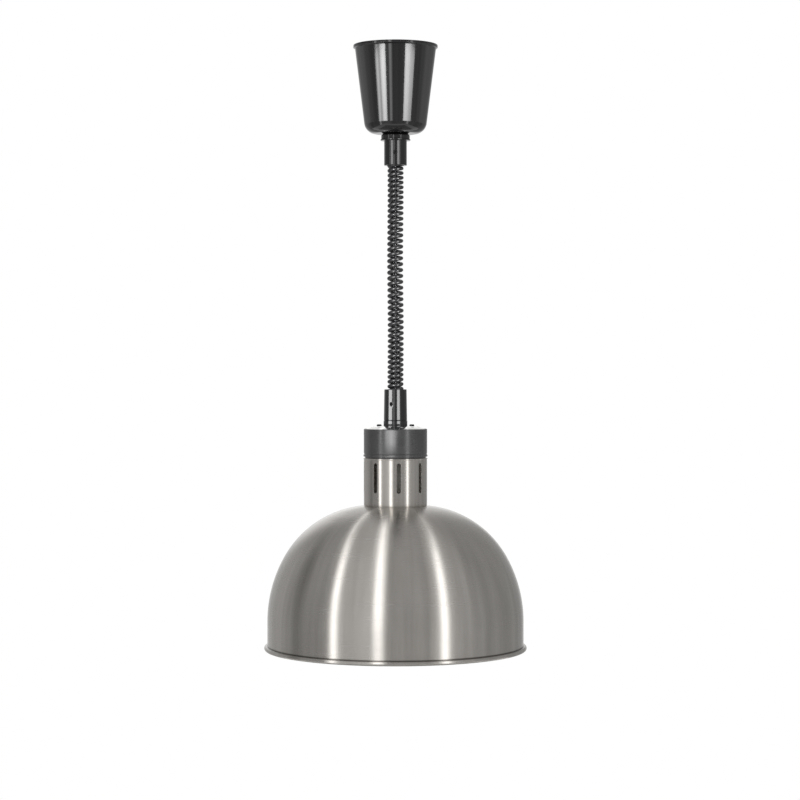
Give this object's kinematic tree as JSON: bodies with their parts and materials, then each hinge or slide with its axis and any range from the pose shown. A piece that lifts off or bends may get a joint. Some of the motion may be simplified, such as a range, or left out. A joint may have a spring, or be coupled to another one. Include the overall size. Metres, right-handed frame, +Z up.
{
  "type": "pendant heat lamp",
  "caption": "Pull-down pendant heat lamp with a black ceiling cup, curly cord, vented steel neck and wide brushed steel dome shade.",
  "frame": {"origin": "centre of the mounting plate's top face, on the ceiling", "axes": "+Z up, the lamp hangs down along -Z; +Y runs along the two ceiling screws; the front is -Y"},
  "size_m": [0.29, 0.29, 0.667],
  "materials": {
    "zinc_steel": "zinc plated, satin",
    "white_nylon": "moulded nylon, fine satin",
    "black_nylon": "moulded nylon, satin",
    "brass": "turned brass",
    "black_cord": "extruded PVC sheath, soft gloss",
    "core_insulation": "fibreglass and silicone sleeving",
    "steel_wire": "stranded galvanised wire",
    "spring_steel": "blued spring strip",
    "gloss_black": "high-gloss black enamel",
    "black_screw": "black oxide",
    "polished_steel": "mirror polished",
    "satin_black": "satin heat-resistant moulding",
    "brushed_steel": "brushed round the axis, clear lacquered",
    "ceramic": "white glazed porcelain, opaque",
    "bulb_glass": "hard glass, frosted face",
    "cap_metal": "nickel-plated cap",
    "cap_glass": "black vitrite, opaque",
    "tungsten": "drawn tungsten and nickel wire"
  },
  "bodies": {
    "ceiling": {"mounting_plate": "zinc_steel", "reel_frame": "zinc_steel", "frame_rivets": "zinc_steel", "reel_axle": "zinc_steel", "axle_nut": "zinc_steel", "axle_spacers": "white_nylon", "upper_cord_bush": "black_nylon", "bush_nut": "black_nylon", "terminal_block": "white_nylon", "terminal_screws": "brass", "block_screw": "zinc_steel", "earth_tag": "brass", "earth_screw": "brass", "upper_cord_tail": "black_cord", "supply_cores": "core_insulation", "curly_cord": "black_cord", "lift_wire": "steel_wire"},
    "reel": {"reel_drum": "white_nylon", "wire_winding": "steel_wire", "power_spring": "spring_steel", "barrel_cover": "zinc_steel"},
    "canopy_cup": {"canopy": "gloss_black", "upper_ferrule": "gloss_black", "canopy_nut": "zinc_steel", "canopy_grub_screw": "black_screw"},
    "lamp_head": {"lower_ferrule": "gloss_black", "lower_cord_bush": "black_nylon", "wire_anchor": "brass", "head_grub_screw": "black_screw", "top_cover": "polished_steel", "cover_screws": "zinc_steel", "spacer_sleeve": "zinc_steel", "collar": "satin_black", "bridge_plate": "zinc_steel", "lock_nut": "zinc_steel", "tie_screws": "zinc_steel", "tie_nuts": "zinc_steel", "holder_posts": "zinc_steel", "holder_plate": "zinc_steel", "lampholder": "ceramic", "holder_screws": "zinc_steel", "screw_shell": "brass", "centre_contact": "brass", "lower_cord_tail": "black_cord", "lamp_leads": "core_insulation", "earth_lead": "core_insulation", "head_earth_tag": "brass", "neck": "brushed_steel", "shade": "brushed_steel", "shade_ring": "zinc_steel"},
    "bulb": {"bulb_glass": "bulb_glass", "bulb_cap": "cap_metal", "cap_insulator": "cap_glass", "cap_contact": "cap_metal", "glass_stem": "bulb_glass", "filament_supports": "tungsten", "filament": "tungsten"}
  },
  "joints": [
    {"name": "raise_lower", "type": "slide", "parent": "ceiling", "child": "lamp_head", "axis": [0, 0, -1], "range_m": [-0.067, 1.133], "deforming": ["curly_cord", "lift_wire"]},
    {"name": "reel_turn", "type": "hinge", "parent": "ceiling", "child": "reel", "pos_m": [-0.015, 0, -0.038], "axis": [0, 1, 0], "range_deg": [-257, 4329]},
    {"name": "canopy_slide", "type": "slide", "parent": "ceiling", "child": "canopy_cup", "axis": [0, 0, -1], "range_m": [0, 0.1]},
    {"name": "bulb_unscrew", "type": "slide", "parent": "lamp_head", "child": "bulb", "axis": [0, 0, -1], "range_m": [0, 0.023]}
  ],
  "couplings": [
    {"joint": "reel_turn", "follows": "raise_lower", "rad_per_m": 66.667}
  ]
}
